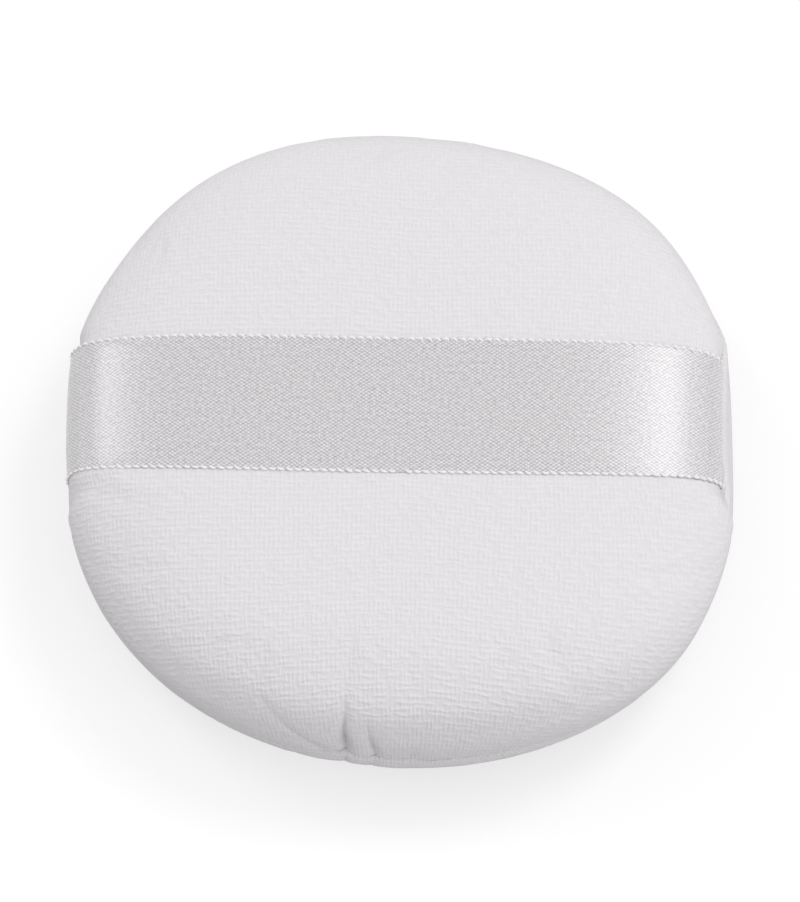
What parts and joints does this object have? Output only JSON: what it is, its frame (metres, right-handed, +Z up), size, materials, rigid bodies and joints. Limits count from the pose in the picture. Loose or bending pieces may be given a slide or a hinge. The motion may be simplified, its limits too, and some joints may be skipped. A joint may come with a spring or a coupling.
{
  "type": "powder puff",
  "caption": "Round-cornered velour powder puff, a padded disc sewn from two covers, with a satin ribbon across the top that the fingers slip under.",
  "frame": {"origin": "under the middle of the puff's box, on the surface that the puff lies on", "axes": "+Z up through the ribbon's side, +X along the ribbon, +Y across it, away from the hand-closed turning gap"},
  "size_m": [0.0906, 0.0892, 0.0252],
  "materials": {
    "velour": "short-pile cotton velour, matt, white",
    "satin_ribbon": "woven satin ribbon with selvedges, silky, white",
    "foam": "open-cell foam, matt, off-white",
    "sewing_thread": "spun polyester sewing thread, white"
  },
  "bodies": {
    "puff": {"top_cover": "velour", "bottom_cover": "velour", "foam_core": "foam", "ribbon_end_right": "satin_ribbon", "ribbon_end_left": "satin_ribbon", "seam_needle_thread": "sewing_thread", "seam_bobbin_thread": "sewing_thread", "closing_thread": "sewing_thread"},
    "band": {"ribbon_span": "satin_ribbon"}
  },
  "joints": [
    {"name": "band_lift", "type": "slide", "parent": "puff", "child": "band", "axis": [0, 0, 1], "range_m": [0, 0.012], "stiffness_N_per_m": 120, "deforming": ["ribbon_end_right", "ribbon_end_left"]}
  ]
}
